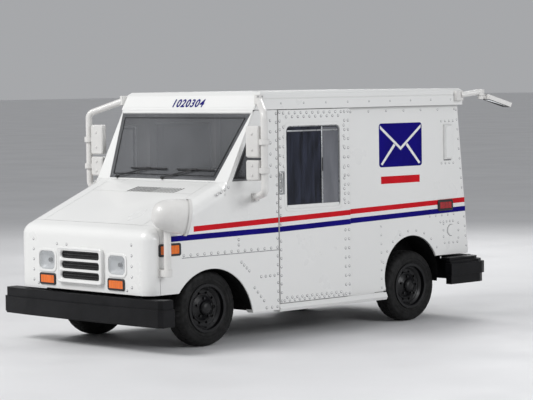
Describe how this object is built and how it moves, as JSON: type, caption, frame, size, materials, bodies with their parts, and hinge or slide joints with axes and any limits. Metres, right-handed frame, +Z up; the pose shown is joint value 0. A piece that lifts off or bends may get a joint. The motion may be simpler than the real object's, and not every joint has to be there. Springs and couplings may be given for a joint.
{
  "type": "mail delivery van",
  "caption": "Boxy right-hand-drive mail delivery van with sloping nose, sliding side doors, rear shutter, hinged hood, loop mirror arms, steered front wheels and full cab interior.",
  "frame": {"origin": "centre of the overall bounding box in plan, on the ground", "axes": "+Z up, the nose faces -Y, +X is the vehicle's own left side"},
  "size_m": [2.4137, 4.4242, 2.15],
  "materials": {
    "white_panel": "gloss white paint over thin sheet",
    "white_fitting": "gloss white paint",
    "grey_sheet": "satin grey paint",
    "glass": "tinted, clear",
    "clear_lens": "moulded clear lens",
    "amber_lens": "gloss, moulded ribs",
    "red_lens": "gloss, moulded ribs",
    "black_bumper": "matte, lightly grained",
    "chassis_black": "satin black paint",
    "bare_steel": "satin",
    "rim_black": "gloss black paint",
    "tyre": "matte rubber",
    "cast_alloy": "rough cast",
    "tank_plastic": "matte",
    "dash_plastic": "matte, grained",
    "seat_vinyl": "grained vinyl"
  },
  "bodies": {
    "chassis": {"fascia": "white_panel", "cowl_panel": "white_panel", "cab_side_left": "white_panel", "cab_side_right": "white_panel", "cab_glass": "glass", "windshield_frame": "white_panel", "roof": "white_panel", "cargo_side_left": "white_panel", "cargo_side_right": "white_panel", "sills_and_steps": "white_panel", "floor_pan": "grey_sheet", "partition": "grey_sheet", "rear_frame": "white_panel", "door_tracks": "grey_sheet", "grille": "white_panel", "headlights": "clear_lens", "amber_lamps": "amber_lens", "red_lamps": "red_lens", "front_bumper": "black_bumper", "rear_bumper": "black_bumper", "frame_rails": "chassis_black", "leaf_springs": "chassis_black", "rear_axle": "chassis_black", "front_suspension": "chassis_black", "powertrain": "cast_alloy", "exhaust": "bare_steel", "fuel_tank": "tank_plastic", "dashboard": "dash_plastic", "mail_tray": "grey_sheet", "mirror_arms": "white_fitting", "mirror_brackets": "white_fitting"},
    "hood_panel": {"hood": "white_panel"},
    "left_knuckle": {"knuckle_left": "chassis_black"},
    "right_knuckle": {"knuckle_right": "chassis_black"},
    "track_rod": {"tie_rod": "bare_steel"},
    "steering": {"steering_wheel": "dash_plastic"},
    "wheel_front_left": {"rim_front_left": "rim_black", "tyre_front_left": "tyre"},
    "wheel_front_right": {"rim_front_right": "rim_black", "tyre_front_right": "tyre"},
    "wheel_rear_left": {"rim_rear_left": "rim_black", "tyre_rear_left": "tyre"},
    "wheel_rear_right": {"rim_rear_right": "rim_black", "tyre_rear_right": "tyre"},
    "left_door": {"door_left": "white_panel", "door_glass_left": "glass"},
    "right_door": {"door_right": "white_panel", "door_glass_right": "glass"},
    "curtain_carriage": {"rear_carriage": "bare_steel"},
    "curtain": {"rear_door": "white_panel"},
    "right_wiper": {"wiper_right": "chassis_black"},
    "left_wiper": {"wiper_left": "chassis_black"},
    "left_mirrors": {"mirror_heads_left": "white_fitting"},
    "right_mirrors": {"mirror_heads_right": "white_fitting"},
    "crossview": {"crossview_mirror": "white_fitting"},
    "rear_view": {"rear_mirror": "white_fitting"},
    "brake": {"brake_pedal": "chassis_black"},
    "seat": {"seat_base": "chassis_black", "seat_cushion": "seat_vinyl", "seat_back": "seat_vinyl"}
  },
  "joints": [
    {"name": "front_left_steer", "type": "hinge", "parent": "chassis", "child": "left_knuckle", "pos_m": [0.612, -1.419, 0.326], "axis": [0, 0, 1], "range_deg": [-28, 28]},
    {"name": "front_right_steer", "type": "hinge", "parent": "chassis", "child": "right_knuckle", "pos_m": [-0.612, -1.419, 0.326], "axis": [0, 0, 1], "range_deg": [-28, 28]},
    {"name": "tie_rod_slide", "type": "slide", "parent": "chassis", "child": "track_rod", "axis": [1, 0, 0], "range_m": [-0.07, 0.07]},
    {"name": "steering_wheel_turn", "type": "hinge", "parent": "chassis", "child": "steering", "pos_m": [-0.4, -0.659, 1.19], "axis": [0, 0.8191, 0.5736], "range_deg": [-448, 448]},
    {"name": "front_left_spin", "type": "hinge", "parent": "left_knuckle", "child": "wheel_front_left", "pos_m": [0.697, -1.419, 0.326], "axis": [1, 0, 0], "continuous": true},
    {"name": "front_right_spin", "type": "hinge", "parent": "right_knuckle", "child": "wheel_front_right", "pos_m": [-0.697, -1.419, 0.326], "axis": [1, 0, 0], "continuous": true},
    {"name": "rear_left_spin", "type": "hinge", "parent": "chassis", "child": "wheel_rear_left", "pos_m": [0.697, 1.134, 0.326], "axis": [1, 0, 0], "continuous": true},
    {"name": "rear_right_spin", "type": "hinge", "parent": "chassis", "child": "wheel_rear_right", "pos_m": [-0.697, 1.134, 0.326], "axis": [1, 0, 0], "continuous": true},
    {"name": "left_door_slide", "type": "slide", "parent": "chassis", "child": "left_door", "axis": [0, 1, 0], "range_m": [0, 0.85]},
    {"name": "right_door_slide", "type": "slide", "parent": "chassis", "child": "right_door", "axis": [0, 1, 0], "range_m": [0, 0.85]},
    {"name": "curtain_slide", "type": "slide", "parent": "chassis", "child": "curtain_carriage", "axis": [0, -1, 0], "range_m": [0, 1.25]},
    {"name": "curtain_tilt", "type": "hinge", "parent": "curtain_carriage", "child": "curtain", "pos_m": [0, 1.701, 1.895], "axis": [1, 0, 0], "range_deg": [0, 84]},
    {"name": "hood_hinge", "type": "hinge", "parent": "chassis", "child": "hood_panel", "pos_m": [0, -1.461, 1.29342], "axis": [-1, 0, 0], "range_deg": [0, 55]},
    {"name": "right_wiper_sweep", "type": "hinge", "parent": "chassis", "child": "right_wiper", "pos_m": [-0.59, -1.22632, 1.4041], "axis": [0, -0.8878, 0.4602], "range_deg": [0, 80]},
    {"name": "left_wiper_sweep", "type": "hinge", "parent": "chassis", "child": "left_wiper", "pos_m": [0.02, -1.22632, 1.4041], "axis": [0, -0.8878, 0.4602], "range_deg": [0, 80]},
    {"name": "left_mirrors_turn", "type": "hinge", "parent": "chassis", "child": "left_mirrors", "pos_m": [1.16, -1.081, 1.6], "axis": [0, 0, 1], "range_deg": [-18, 18]},
    {"name": "right_mirrors_turn", "type": "hinge", "parent": "chassis", "child": "right_mirrors", "pos_m": [-1.16, -1.081, 1.6], "axis": [0, 0, 1], "range_deg": [-18, 18]},
    {"name": "crossview_turn", "type": "hinge", "parent": "chassis", "child": "crossview", "pos_m": [0.94, -1.991, 0.68], "axis": [0, 0, 1], "range_deg": [-20, 5]},
    {"name": "rear_mirror_turn", "type": "hinge", "parent": "chassis", "child": "rear_view", "pos_m": [0.985, 1.926, 2.058], "axis": [0, 0, 1], "range_deg": [-15, 15]},
    {"name": "brake_pedal_press", "type": "hinge", "parent": "chassis", "child": "brake", "pos_m": [-0.38, -0.909, 0.985], "axis": [-1, 0, 0], "range_deg": [0, 10], "stiffness_Nm_per_rad": 30},
    {"name": "seat_slide", "type": "slide", "parent": "chassis", "child": "seat", "axis": [0, 1, 0], "range_m": [-0.06, 0.06]}
  ],
  "couplings": [
    {"joint": "front_right_steer", "follows": "front_left_steer", "ratio": 1},
    {"joint": "steering_wheel_turn", "follows": "front_left_steer", "ratio": 16},
    {"joint": "tie_rod_slide", "follows": "front_left_steer", "m_per_rad": -0.13},
    {"joint": "curtain_tilt", "follows": "curtain_slide", "rad_per_m": 1.1727},
    {"joint": "left_wiper_sweep", "follows": "right_wiper_sweep", "ratio": 1}
  ]
}
